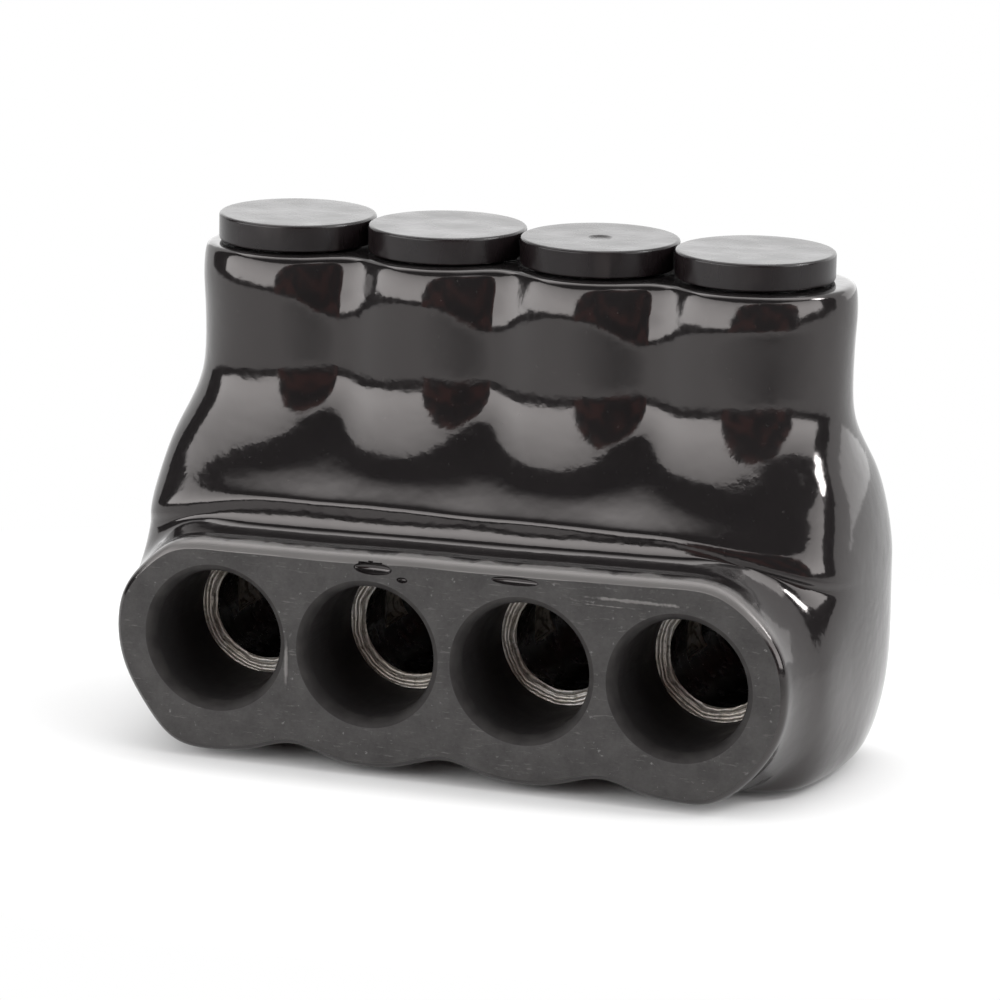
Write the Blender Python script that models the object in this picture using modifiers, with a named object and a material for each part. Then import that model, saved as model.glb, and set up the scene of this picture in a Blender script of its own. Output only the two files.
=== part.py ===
"""Insulated multi-tap connector: a clamp block with four cable ports on one side and a set screw
over each, in a soft moulded jacket with four access plugs. Metres, +Z up, resting on its flat base.
The ports face -Y, their row runs along X, and the origin is under the row's middle."""

import collections
import math

import bmesh
import bpy

# Row of ports
PORT_COUNT = 4
PORT_AXIS_HEIGHT = 0.0173

# Jacket body
BODY_LEFT_OVERHANG = 0.0187
BODY_RIGHT_OVERHANG = 0.0200
BODY_FRONT = 0.0220
BODY_BACK = 0.0172
BODY_CORNER_POWER = 3.6
BASE_EDGE = 0.0024
BASE_ROUNDING = 0.0080
SHOULDER_ABOVE_AXIS = 0.0186
SHOULDER_DROOP = 0.0060
NECK_ABOVE_SHOULDER = 0.0170

# Jacket towers, one round each screw and its plug
TOWER_NECK_WALL = 0.0047
TOWER_RIM_WALL = 0.0052
TOWER_LEAN = 0.0006
NECK_VALLEY = 0.0042
RIM_VALLEY = 0.0060
RIM_ABOVE_AXIS = 0.0508
RIM_EDGE = 0.0012
RIM_CROWN = 0.0009
RIM_CROWN_HEIGHT = 0.0046
SCREW_ACCESS = 0.0014

# Jacket collar round the ports
COLLAR_REACH = 0.0298
COLLAR_END_WALL = 0.0048
COLLAR_FLOOR_WALL = 0.0060
COLLAR_LEFT_ROOF = 0.0029
COLLAR_RIGHT_ROOF = 0.0040
COLLAR_VALLEY = 0.0030
COLLAR_FILLET = 0.0013
COLLAR_LIP = 0.0022
COLLAR_ROW_HALF = 0.0052
PORT_CLEARANCE = 0.00185
PORT_LEAD_IN = 0.00115
PORT_MOUTH_DEPTH = 0.0022

# Round ends of the collar, from bottom to top, as shares of the end radius
COLLAR_LEFT_END = ((0.715, -0.735), (1.0, -0.28), (1.0, 0.33), (0.74, 0.63))
COLLAR_RIGHT_END = ((0.765, -0.705), (1.0, -0.28), (1.0, 0.33), (0.745, 0.675))
COLLAR_LEFT_CORNER = 0.44
COLLAR_RIGHT_CORNER = 0.37

# Clamp block
BLOCK_DEPTH = 0.0230
BLOCK_END_OVERHANG = 0.0118
BLOCK_BELOW_AXIS = 0.0117
BLOCK_ABOVE_AXIS = 0.0184
BLOCK_EDGE = 0.0005
WIRE_BORE_RADIUS = 0.0074
WIRE_BORE_CHAMFER = 0.0006
TAPPED_HOLE_BELOW_AXIS = 0.0030

# Set screws, raised clear of the wire bores
SCREW_RADIUS = 0.0078
SCREW_LENGTH = 0.0160
SCREW_RAISED = 0.0110
SCREW_EDGE = 0.0009
SOCKET_ACROSS_FLATS = 0.00794
SOCKET_DEPTH = 0.0080
SOCKET_LEAD = 0.0005

# Access plugs
PLUG_OVERLAP = 0.0019
PLUG_SPACING = 0.0003
PLUG_HEAD_THICKNESS = 0.0038
PLUG_HEAD_EDGE = 0.0003
PLUG_SKIRT_WALL = 0.0015
PLUG_SKIRT_LENGTH = 0.0090
PLUG_RIB_HEIGHT = 0.0002
PLUG_RIB_WIDTH = 0.0010
PLUG_RIB_PLACES = (0.30, 0.62)

# Clearances
SEAT_GAP = 0.0003
THREAD_GAP = 0.0003
CUT_OVERRUN = 0.0060
MERGE_DISTANCE = 0.00001

# Fineness
STATIONS_PER_PITCH = 4
END_STEPS = 6
LOBE_POWER = 2.3
DROOP_START = 0.75
SMOOTHING_LEVELS = 1
ROUND_STEPS = 32
PLUG_STEPS = 36
MOUTH_STEPS = 3
COLLAR_ROWS = 3
COLLAR_END_COLUMNS = 2
BASE_RING_COUNT = 2

# Worked out from the sizes above
TOWER_BORE_RADIUS = SCREW_RADIUS + SCREW_ACCESS
TOWER_NECK_RADIUS = TOWER_BORE_RADIUS + TOWER_NECK_WALL
TOWER_RIM_RADIUS = TOWER_BORE_RADIUS + TOWER_RIM_WALL
PLUG_HEAD_RADIUS = TOWER_BORE_RADIUS + PLUG_OVERLAP
PITCH = 2 * PLUG_HEAD_RADIUS + PLUG_SPACING
PORT_BORE_RADIUS = WIRE_BORE_RADIUS + PORT_CLEARANCE
PORT_MOUTH_RADIUS = PORT_BORE_RADIUS + PORT_LEAD_IN
COLLAR_END_RADIUS = PORT_MOUTH_RADIUS + COLLAR_END_WALL
COLLAR_DROP = PORT_MOUTH_RADIUS + COLLAR_FLOOR_WALL
ROW_HALF = (PORT_COUNT - 1) * PITCH / 2
AXES = [index * PITCH - ROW_HALF for index in range(PORT_COUNT)]
STATION_COUNT = STATIONS_PER_PITCH * (PORT_COUNT - 1) + 1
STATIONS = [index * PITCH / STATIONS_PER_PITCH - ROW_HALF for index in range(STATION_COUNT)]
COLLAR_LENGTH = COLLAR_REACH - BODY_FRONT
SHOULDER_HEIGHT = PORT_AXIS_HEIGHT + SHOULDER_ABOVE_AXIS
NECK_HEIGHT = SHOULDER_HEIGHT + NECK_ABOVE_SHOULDER
RIM_HEIGHT = PORT_AXIS_HEIGHT + RIM_ABOVE_AXIS
BLOCK_BOTTOM = PORT_AXIS_HEIGHT - BLOCK_BELOW_AXIS
BLOCK_TOP = PORT_AXIS_HEIGHT + BLOCK_ABOVE_AXIS
TAPPED_HOLE_BOTTOM = PORT_AXIS_HEIGHT - TAPPED_HOLE_BELOW_AXIS

Section = collections.namedtuple("Section", "height left right front back valley power droop")


def clear_scene():
    for obj in list(bpy.data.objects):
        bpy.data.objects.remove(obj, do_unlink=True)


def new_collection(name):
    collection = bpy.data.collections.new(name)
    bpy.context.scene.collection.children.link(collection)
    return collection


def make_material(name, colour, roughness, metallic):
    material = bpy.data.materials.new(name)
    material.use_nodes = True
    shader = material.node_tree.nodes["Principled BSDF"]
    shader.inputs["Base Color"].default_value = (*colour, 1.0)
    shader.inputs["Roughness"].default_value = roughness
    shader.inputs["Metallic"].default_value = metallic
    return material


def object_from_bmesh(name, mesh_data, collection):
    bmesh.ops.recalc_face_normals(mesh_data, faces=mesh_data.faces[:])
    mesh = bpy.data.meshes.new(name)
    mesh_data.to_mesh(mesh)
    mesh_data.free()
    obj = bpy.data.objects.new(name, mesh)
    collection.objects.link(obj)
    return obj


def smooth(obj, angle=math.radians(40)):
    obj.data.shade_smooth()
    obj.data.set_sharp_from_angle(angle=angle)


def as_cutter(obj):
    obj.hide_render = True
    obj.display_type = "WIRE"
    return obj


def box(name, low, high, collection):
    mesh_data = bmesh.new()
    bmesh.ops.create_cube(mesh_data, size=1.0)
    for vert in mesh_data.verts:
        for axis in range(3):
            middle = (low[axis] + high[axis]) / 2
            vert.co[axis] = middle + vert.co[axis] * (high[axis] - low[axis])
    return object_from_bmesh(name, mesh_data, collection)


def turned(name, profile, collection, steps=ROUND_STEPS):
    """A solid of revolution about its own Z. The profile is (radius, height) pairs, top to bottom."""
    mesh = bpy.data.meshes.new(name)
    points = [(radius, 0.0, height) for radius, height in profile]
    edges = [(index, index + 1) for index in range(len(points) - 1)]
    mesh.from_pydata(points, edges, [])
    obj = bpy.data.objects.new(name, mesh)
    collection.objects.link(obj)
    screw = obj.modifiers.new("turn", "SCREW")
    screw.steps = steps
    screw.render_steps = steps
    screw.use_merge_vertices = True
    screw.merge_threshold = MERGE_DISTANCE
    screw.use_smooth_shade = True
    return obj


def cut(obj, cutter):
    modifier = obj.modifiers.new(f"cut {cutter.name}", "BOOLEAN")
    modifier.operation = "DIFFERENCE"
    modifier.object = cutter


def valley_share(x):
    """0 on a port's axis, 1 midway between two ports, with the round flank of a lobe between."""
    offset = min(abs(x - axis) for axis in AXES)
    return (2 * offset / PITCH) ** LOBE_POWER


def drooped_height(section, x):
    """The outline's height at a place along the row: level in the middle, lower towards its ends."""
    level_half = DROOP_START * ROW_HALF
    reach = ROW_HALF + section.left - level_half
    return section.height - section.droop * min(max(abs(x) - level_half, 0.0) / reach, 1.0) ** 2


def end_arc(section, side):
    """The rounded end of an outline, from front to back, without its first and last points."""
    points = []
    for step in range(1, END_STEPS):
        angle = math.pi * step / END_STEPS
        along = math.sin(angle) ** (2 / section.power)
        across = math.copysign(abs(math.cos(angle)) ** (2 / section.power), math.cos(angle))
        depth = section.front if across > 0 else section.back
        reach = section.left if side < 0 else section.right
        x = side * (ROW_HALF + reach * along)
        points.append((x, -depth * across, drooped_height(section, x)))
    return points


def section_ring(section):
    """One closed outline of the jacket: front row, right end, back row, left end."""
    front = [(x, valley_share(x) * section.valley - section.front) for x in STATIONS]
    back = [(x, section.back - valley_share(x) * section.valley) for x in reversed(STATIONS)]
    points = [(x, y, drooped_height(section, x)) for x, y in front] + end_arc(section, 1)
    points += [(x, y, drooped_height(section, x)) for x, y in back] + end_arc(section, -1)[::-1]
    return points


def body_section(height, inset=0.0, rounding=0.0):
    """The body's outline, drawn in by the inset in front and by the rounding at its ends and back."""
    return Section(
        height=height,
        left=BODY_LEFT_OVERHANG - rounding,
        right=BODY_RIGHT_OVERHANG - rounding,
        front=BODY_FRONT - inset,
        back=BODY_BACK - rounding,
        valley=0.0,
        power=BODY_CORNER_POWER,
        droop=0.0,
    )


def tower_section(height, radius, lean=0.0):
    return Section(
        height=height,
        left=radius - lean,
        right=radius + lean,
        front=radius,
        back=radius,
        valley=NECK_VALLEY,
        power=2.0,
        droop=0.0,
    )


def rim_section(height, inset, crown):
    """An outline near the rim, where the front and back lean in more than the ends."""
    section = tower_section(height, TOWER_RIM_RADIUS - inset, TOWER_LEAN)
    return section._replace(
        front=section.front - crown, back=section.back - crown, valley=RIM_VALLEY
    )


def blended_section(height, front_share, share, droop=0.0):
    """An outline part of the way from the body's to the towers', where the front slopes back first."""
    low = body_section(height)
    high = tower_section(height, TOWER_NECK_RADIUS, TOWER_LEAN)
    mixed = Section(*(a + (b - a) * share for a, b in zip(low, high)))
    front = low.front + (high.front - low.front) * front_share
    return mixed._replace(front=front, droop=droop)


def jacket_sections():
    rise = NECK_HEIGHT - SHOULDER_HEIGHT
    rim = TOWER_RIM_RADIUS
    return [
        body_section(0.0, 3 * BASE_EDGE, 1.4 * BASE_ROUNDING),
        body_section(0.0, BASE_EDGE, 0.8 * BASE_ROUNDING),
        body_section(0.7 * BASE_EDGE, 0.1 * BASE_EDGE, 0.3 * BASE_ROUNDING),
        body_section(PORT_AXIS_HEIGHT - COLLAR_ROW_HALF),
        body_section(PORT_AXIS_HEIGHT + COLLAR_ROW_HALF),
        blended_section(SHOULDER_HEIGHT, 0.0, 0.02, SHOULDER_DROOP),
        blended_section(SHOULDER_HEIGHT + 0.04 * rise, 0.03, 0.06, 0.7 * SHOULDER_DROOP),
        blended_section(SHOULDER_HEIGHT + 0.18 * rise, 0.35, 0.19, 0.3 * SHOULDER_DROOP),
        blended_section(SHOULDER_HEIGHT + 0.34 * rise, 0.58, 0.38),
        blended_section(SHOULDER_HEIGHT + 0.54 * rise, 0.76, 0.67),
        blended_section(SHOULDER_HEIGHT + 0.76 * rise, 0.91, 0.93),
        blended_section(NECK_HEIGHT, 1.0, 1.0),
        tower_section((NECK_HEIGHT + RIM_HEIGHT) / 2, (TOWER_NECK_RADIUS + rim) / 2, TOWER_LEAN),
        rim_section(RIM_HEIGHT - RIM_CROWN_HEIGHT, 0.0, 0.0),
        rim_section(RIM_HEIGHT - RIM_EDGE, 0.1 * RIM_EDGE, 0.8 * RIM_CROWN),
        rim_section(RIM_HEIGHT - 0.2 * RIM_EDGE, 0.4 * RIM_EDGE, RIM_CROWN),
        rim_section(RIM_HEIGHT, RIM_EDGE, RIM_CROWN),
        rim_section(RIM_HEIGHT, 2.2 * RIM_EDGE, RIM_CROWN),
    ]


def cap_faces(mesh_data, ring):
    """Closes an outline with a row of quads from front to back and a fan at each end."""
    count = len(STATIONS)
    steps = END_STEPS - 1
    front = ring[:count]
    right = ring[count : count + steps]
    back = ring[count + steps : 2 * count + steps][::-1]
    left = ring[2 * count + steps :][::-1]
    for index in range(count - 1):
        mesh_data.faces.new([front[index], front[index + 1], back[index + 1], back[index]])
    for first, arc, last in ((front[-1], right, back[-1]), (front[0], left, back[0])):
        chain = [first, *arc, last]
        while len(chain) > 3:
            mesh_data.faces.new([chain[0], chain[1], chain[-2], chain[-1]])
            chain = chain[1:-1]
        if len(chain) == 3:
            mesh_data.faces.new(chain)


def collar_point(column, row, inset, reach):
    """A point of the collar's grid: columns run along the row of ports, rows from bottom to top."""
    along = min(max(column, 0), STATION_COUNT - 1)
    x = STATIONS[along]
    roof = COLLAR_LEFT_ROOF + (COLLAR_RIGHT_ROOF - COLLAR_LEFT_ROOF) * along / (STATION_COUNT - 1)
    bottom = PORT_AXIS_HEIGHT - COLLAR_DROP + max(inset, 0.0) + COLLAR_VALLEY * valley_share(x)
    top = PORT_AXIS_HEIGHT + PORT_MOUTH_RADIUS + roof - inset
    radius = COLLAR_END_RADIUS - inset
    if column == along:
        return (x, -reach, bottom + (top - bottom) * row / COLLAR_ROWS)
    side = -1 if column < 0 else 1
    if column in (-1, STATION_COUNT):
        corner = COLLAR_LEFT_CORNER if side < 0 else COLLAR_RIGHT_CORNER
        return (side * (ROW_HALF + radius * corner), -reach, bottom + (top - bottom) * row / COLLAR_ROWS)
    across, up = (COLLAR_LEFT_END if side < 0 else COLLAR_RIGHT_END)[row]
    return (side * (ROW_HALF + radius * across), -reach, PORT_AXIS_HEIGHT + radius * up)


def extrude_collar(mesh_data, patch, column_layer, row_layer):
    """Pushes the front patch out to the collar, ring by ring, past the knife cut."""
    for reach, inset in (
        (BODY_FRONT + 0.14 * COLLAR_LENGTH, -COLLAR_FILLET),
        (BODY_FRONT + 0.45 * COLLAR_LENGTH, -0.35 * COLLAR_FILLET),
        (BODY_FRONT + 0.84 * COLLAR_LENGTH, 0.0),
        (BODY_FRONT + 1.12 * COLLAR_LENGTH, COLLAR_LIP),
    ):
        result = bmesh.ops.extrude_face_region(mesh_data, geom=patch)
        bmesh.ops.delete(mesh_data, geom=patch, context="FACES")
        patch = [item for item in result["geom"] if isinstance(item, bmesh.types.BMFace)]
        for vert in {vert for face in patch for vert in face.verts}:
            column = vert[column_layer] - COLLAR_END_COLUMNS
            vert.co = collar_point(column, vert[row_layer], inset, reach)


def jacket_cage(collection):
    mesh_data = bmesh.new()
    column_layer = mesh_data.verts.layers.int.new("column")
    row_layer = mesh_data.verts.layers.int.new("row")
    rings = [
        [mesh_data.verts.new(point) for point in section_ring(section)]
        for section in jacket_sections()
    ]
    count = len(rings[0])
    for low, high in zip(rings, rings[1:]):
        for index in range(count):
            after = (index + 1) % count
            mesh_data.faces.new([low[index], low[after], high[after], high[index]])
    cap_faces(mesh_data, rings[0])
    cap_faces(mesh_data, rings[-1])
    bmesh.ops.recalc_face_normals(mesh_data, faces=mesh_data.faces[:])

    columns = [*range(count - COLLAR_END_COLUMNS, count), *range(STATION_COUNT + COLLAR_END_COLUMNS)]
    grid = {}
    for row in range(COLLAR_ROWS + 1):
        for column, index in enumerate(columns):
            vert = rings[BASE_RING_COUNT + row][index]
            vert[column_layer] = column
            vert[row_layer] = row
            grid[vert] = True
    patch = [face for face in mesh_data.faces if all(vert in grid for vert in face.verts)]
    extrude_collar(mesh_data, patch, column_layer, row_layer)
    return object_from_bmesh("insulating_jacket", mesh_data, collection)


def port_cutter(name, x, collection):
    """A bore along -Y with a rounded lead-in at the collar's face, ending inside the block's seat."""
    inner = -BLOCK_DEPTH / 2 + SEAT_GAP
    length = COLLAR_REACH + inner
    profile = [(0.0, length + CUT_OVERRUN), (PORT_MOUTH_RADIUS, length + CUT_OVERRUN)]
    for step in range(MOUTH_STEPS + 1):
        angle = math.pi / 2 * step / MOUTH_STEPS
        radius = PORT_MOUTH_RADIUS - (PORT_MOUTH_RADIUS - PORT_BORE_RADIUS) * math.sin(angle)
        profile.append((radius, length - PORT_MOUTH_DEPTH * (1 - math.cos(angle))))
    profile += [(PORT_BORE_RADIUS, 0.0), (0.0, 0.0)]
    cutter = turned(name, profile, collection)
    cutter.rotation_euler = (math.pi / 2, 0.0, 0.0)
    cutter.location = (x, inner, PORT_AXIS_HEIGHT)
    return as_cutter(cutter)


def build_jacket(parts, cutters, material):
    jacket = jacket_cage(parts)
    subdivide = jacket.modifiers.new("smooth form", "SUBSURF")
    subdivide.levels = SMOOTHING_LEVELS
    subdivide.render_levels = SMOOTHING_LEVELS

    far = ROW_HALF + BODY_RIGHT_OVERHANG + CUT_OVERRUN
    knife_low = (-far, -COLLAR_REACH - COLLAR_LENGTH, -CUT_OVERRUN)
    knife = box("knife_cut", knife_low, (far, -COLLAR_REACH, NECK_HEIGHT), cutters)
    half = ROW_HALF + BLOCK_END_OVERHANG + SEAT_GAP
    depth = BLOCK_DEPTH / 2 + SEAT_GAP
    seat_low = (-half, -depth, BLOCK_BOTTOM - SEAT_GAP)
    seat = box("block_seat", seat_low, (half, depth, BLOCK_TOP + SEAT_GAP), cutters)
    cut(jacket, as_cutter(knife))
    cut(jacket, as_cutter(seat))
    for number, x in enumerate(AXES, 1):
        cut(jacket, port_cutter(f"port_bore_{number}", x, cutters))
        top = RIM_HEIGHT + CUT_OVERRUN
        bottom = BLOCK_TOP - SEAT_GAP
        radius = TOWER_BORE_RADIUS
        tower = [(0.0, top), (radius, top), (radius, bottom), (0.0, bottom)]
        bore = as_cutter(turned(f"tower_bore_{number}", tower, cutters))
        bore.location.x = x
        cut(jacket, bore)
    jacket.data.materials.append(material)
    smooth(jacket)


def build_block(parts, cutters, material):
    half = ROW_HALF + BLOCK_END_OVERHANG
    depth = BLOCK_DEPTH / 2
    low = (-half, -depth, BLOCK_BOTTOM)
    block = box("connector_block", low, (half, depth, BLOCK_TOP), parts)
    bevel = block.modifiers.new("edges", "BEVEL")
    bevel.width = BLOCK_EDGE
    bevel.segments = 1
    wide = WIRE_BORE_RADIUS + WIRE_BORE_CHAMFER
    for number, x in enumerate(AXES, 1):
        wire = [(0.0, depth + CUT_OVERRUN), (wide, depth + CUT_OVERRUN), (wide, depth)]
        wire += [(WIRE_BORE_RADIUS, depth - WIRE_BORE_CHAMFER)]
        wire += [(radius, -height) for radius, height in reversed(wire)]
        wire_bore = as_cutter(turned(f"wire_bore_{number}", wire, cutters))
        wire_bore.rotation_euler = (math.pi / 2, 0.0, 0.0)
        wire_bore.location = (x, 0.0, PORT_AXIS_HEIGHT)
        cut(block, wire_bore)
        radius = SCREW_RADIUS + THREAD_GAP
        top = BLOCK_TOP + CUT_OVERRUN
        tapped = [(0.0, top), (radius, top), (radius, TAPPED_HOLE_BOTTOM), (0.0, TAPPED_HOLE_BOTTOM)]
        tapped_hole = as_cutter(turned(f"tapped_hole_{number}", tapped, cutters))
        tapped_hole.location.x = x
        cut(block, tapped_hole)
    block.data.materials.append(material)
    smooth(block)


def build_screw(number, x, parts, cutters, material):
    bottom = TAPPED_HOLE_BOTTOM + SEAT_GAP + SCREW_RAISED
    edge = SCREW_EDGE
    profile = [
        (0.0, SCREW_LENGTH),
        (SCREW_RADIUS - edge, SCREW_LENGTH),
        (SCREW_RADIUS, SCREW_LENGTH - edge),
        (SCREW_RADIUS, edge),
        (SCREW_RADIUS - edge, 0.0),
        (0.0, 0.0),
    ]
    screw = turned(f"set_screw_{number}", profile, parts)
    screw.location = (x, 0.0, bottom)

    corner = SOCKET_ACROSS_FLATS / 2 / math.cos(math.pi / 6)
    floor = SCREW_LENGTH - SOCKET_DEPTH
    socket = [(0.0, SCREW_LENGTH + CUT_OVERRUN), (corner, SCREW_LENGTH + CUT_OVERRUN)]
    socket += [(corner, floor), (0.0, floor)]
    socket_cutter = as_cutter(turned(f"hex_socket_{number}", socket, cutters, steps=6))
    socket_cutter.location = screw.location
    lead = [(0.0, SCREW_LENGTH + CUT_OVERRUN), (corner, SCREW_LENGTH + CUT_OVERRUN)]
    lead += [(corner, SCREW_LENGTH), (corner - SOCKET_LEAD, SCREW_LENGTH - SOCKET_LEAD)]
    lead += [(0.0, SCREW_LENGTH - SOCKET_LEAD)]
    lead_cutter = as_cutter(turned(f"socket_lead_{number}", lead, cutters))
    lead_cutter.location = screw.location
    cut(screw, socket_cutter)
    cut(screw, lead_cutter)
    screw.data.materials.append(material)


def build_plug(number, x, parts, material):
    head = PLUG_HEAD_THICKNESS
    edge = PLUG_HEAD_EDGE
    outer = TOWER_BORE_RADIUS - SEAT_GAP
    inner = outer - PLUG_SKIRT_WALL
    rib = outer + PLUG_RIB_HEIGHT
    profile = [
        (0.0, head),
        (PLUG_HEAD_RADIUS - edge, head),
        (PLUG_HEAD_RADIUS, head - edge),
        (PLUG_HEAD_RADIUS, 0.0),
        (outer, 0.0),
    ]
    for share in PLUG_RIB_PLACES:
        height = -share * PLUG_SKIRT_LENGTH
        profile += [(outer, height), (rib, height - PLUG_RIB_WIDTH / 2), (outer, height - PLUG_RIB_WIDTH)]
    profile += [
        (outer, edge - PLUG_SKIRT_LENGTH),
        (outer - edge, -PLUG_SKIRT_LENGTH),
        (inner, -PLUG_SKIRT_LENGTH),
        (inner, 0.0),
        (0.0, 0.0),
    ]
    plug = turned(f"access_plug_{number}", profile, parts, steps=PLUG_STEPS)
    plug.location = (x, 0.0, RIM_HEIGHT + SEAT_GAP)
    plug.data.materials.append(material)


def main():
    clear_scene()
    parts = new_collection("insulated multi-tap connector")
    cutters = new_collection("cutters")
    jacket_black = make_material("glossy black jacket", (0.012, 0.011, 0.011), 0.12, 0.0)
    plug_black = make_material("matte black rubber", (0.045, 0.042, 0.042), 0.55, 0.0)
    tinned = make_material("tinned aluminium", (0.62, 0.60, 0.56), 0.34, 1.0)
    plated = make_material("plated screw metal", (0.55, 0.55, 0.53), 0.30, 1.0)
    build_jacket(parts, cutters, jacket_black)
    build_block(parts, cutters, tinned)
    for number, x in enumerate(AXES, 1):
        build_screw(number, x, parts, cutters, plated)
        build_plug(number, x, parts, plug_black)


main()
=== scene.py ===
"""Looks of the insulated multi-tap connector: a dip-moulded glossy black jacket with a knife-cut
collar, round rubber plugs, threaded set screws and a machined clamp block. Metres, +Z up."""

import collections
import math

import bmesh
import bpy
from mathutils import Matrix, Vector


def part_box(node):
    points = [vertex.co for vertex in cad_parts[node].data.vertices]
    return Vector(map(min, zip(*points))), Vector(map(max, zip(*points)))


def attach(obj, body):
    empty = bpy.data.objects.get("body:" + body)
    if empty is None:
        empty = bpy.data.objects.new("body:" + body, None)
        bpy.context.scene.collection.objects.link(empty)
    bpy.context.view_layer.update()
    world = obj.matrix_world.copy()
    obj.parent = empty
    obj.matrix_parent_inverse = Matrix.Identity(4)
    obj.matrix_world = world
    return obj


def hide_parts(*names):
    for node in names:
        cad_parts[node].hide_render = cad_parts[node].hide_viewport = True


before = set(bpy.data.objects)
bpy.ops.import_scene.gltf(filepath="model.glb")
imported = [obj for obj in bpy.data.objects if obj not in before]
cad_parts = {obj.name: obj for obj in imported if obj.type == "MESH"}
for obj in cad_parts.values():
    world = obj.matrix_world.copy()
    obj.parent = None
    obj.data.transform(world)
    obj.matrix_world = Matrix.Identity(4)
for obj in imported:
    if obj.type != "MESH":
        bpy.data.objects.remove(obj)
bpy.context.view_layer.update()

# Places read from the frame
PORT_COUNT = 4
PLUG_BOXES = [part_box(f"access_plug_{number}") for number in range(1, PORT_COUNT + 1)]
AXES = [(low.x + high.x) / 2 for low, high in PLUG_BOXES]
PITCH = AXES[1] - AXES[0]
ROW_HALF = AXES[-1]
BLOCK_LOW, BLOCK_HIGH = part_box("connector_block")
JACKET_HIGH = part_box("insulating_jacket")[1]
SCREW_LOW, SCREW_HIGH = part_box("set_screw_1")
WIRE_BORE_RISE = 0.0117
PORT_AXIS_HEIGHT = BLOCK_LOW.z + WIRE_BORE_RISE
RIM_HEIGHT = JACKET_HIGH.z

# Jacket body and towers
BODY_LEFT_OVERHANG = 0.0187
BODY_RIGHT_OVERHANG = 0.0200
BODY_FRONT = 0.0220
BODY_BACK = 0.0172
BODY_CORNER_POWER = 3.6
BASE_EDGE = 0.0024
BASE_ROUNDING = 0.0080
SHOULDER_HEIGHT = PORT_AXIS_HEIGHT + 0.0186
SHOULDER_DROOP = 0.0060
SHOULDER_CREASE = 0.0009
NECK_HEIGHT = SHOULDER_HEIGHT + 0.0170
TOWER_BORE_RADIUS = 0.0092
TOWER_NECK_RADIUS = TOWER_BORE_RADIUS + 0.0047
TOWER_RIM_RADIUS = TOWER_BORE_RADIUS + 0.0052
TOWER_LEAN = 0.0006
NECK_VALLEY = 0.0042
RIM_VALLEY = 0.0060
RIM_EDGE = 0.0012
RIM_CROWN = 0.0009
RIM_CROWN_HEIGHT = 0.0046

# Collar round the ports
COLLAR_REACH = 0.0298
COLLAR_LENGTH = COLLAR_REACH - BODY_FRONT
PORT_BORE_RADIUS = 0.00925
PORT_MOUTH_RADIUS = 0.0104
PORT_MOUTH_DEPTH = 0.0022
COLLAR_END_RADIUS = PORT_MOUTH_RADIUS + 0.0048
COLLAR_DROP = PORT_MOUTH_RADIUS + 0.0060
COLLAR_LEFT_ROOF = 0.0029
COLLAR_RIGHT_ROOF = 0.0040
COLLAR_VALLEY = 0.0030
COLLAR_FILLET = 0.0013
COLLAR_LEFT_SPREAD = 1.3
COLLAR_RIGHT_SPREAD = 1.8
COLLAR_END_SETBACK = 0.0028
COLLAR_FILLET_END = BODY_FRONT + 0.5 * COLLAR_LENGTH
COLLAR_LIP = 0.0022
COLLAR_ROW_HALF = 0.0052

# Bubbles opened by the knife: place along the row, height over the port axis, half sizes
BUBBLES = (
    (-0.0105, 0.0122, (0.0028, 0.0010, 0.0009)),
    (0.0101, 0.0125, (0.0034, 0.0006, 0.0006)),
    (-0.0062, 0.0110, (0.0008, 0.0006, 0.0004)),
)

# Round ends of the collar, from bottom to top, as shares of the end radius
COLLAR_LEFT_END = ((0.715, -0.735), (1.0, -0.28), (1.0, 0.33), (0.74, 0.63))
COLLAR_RIGHT_END = ((0.765, -0.705), (1.0, -0.28), (1.0, 0.33), (0.745, 0.675))
COLLAR_LEFT_CORNER = 0.44
COLLAR_RIGHT_CORNER = 0.37

# Metal pieces and plugs
WIRE_BORE_RADIUS = 0.0074
WIRE_BORE_CHAMFER = 0.0006
BLOCK_EDGE = 0.0005
TAPPED_HOLE_RADIUS = 0.0081
TAPPED_HOLE_BOTTOM = PORT_AXIS_HEIGHT - 0.0030
COUNTERSINK = 0.0005
SCREW_RADIUS = 0.0078
THREAD_DEPTH = 0.00055
THREAD_PITCH = 0.00135
THREAD_HALF_WIDTH = 0.44 * THREAD_PITCH
THREAD_SINK = 0.0001
SCREW_EDGE = 0.0009
SOCKET_WIDTH = 0.00794
SOCKET_CORNER_RADIUS = SOCKET_WIDTH / 2 / math.cos(math.pi / 6)
SOCKET_DEPTH = 0.0080
SOCKET_LEAD_DEPTH = 0.0008
SOCKET_LEAD_MARGIN = 0.0003
PLUG_HEAD_RADIUS = 0.0111
PLUG_SKIRT_LENGTH = 0.0090
PLUG_SKIRT_RADIUS = 0.0089
PLUG_SKIRT_WALL = 0.0015
PLUG_SKIRT_EDGE = 0.0003
PLUG_RIB_LENGTH = 0.0010
PLUG_RIB_RISE = 0.0002
DIMPLED_PLUG = 3
DIMPLE_RADIUS = 0.0016
DIMPLE_EDGE = 0.00045
DIMPLE_DEPTH = 0.00022
RING_SPACING = 0.00052
PLUG_TURN = 1.9
SCREW_TURN = 0.4
SEAT_GAP = 0.0003
CUT_OVERRUN = 0.0060

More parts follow.
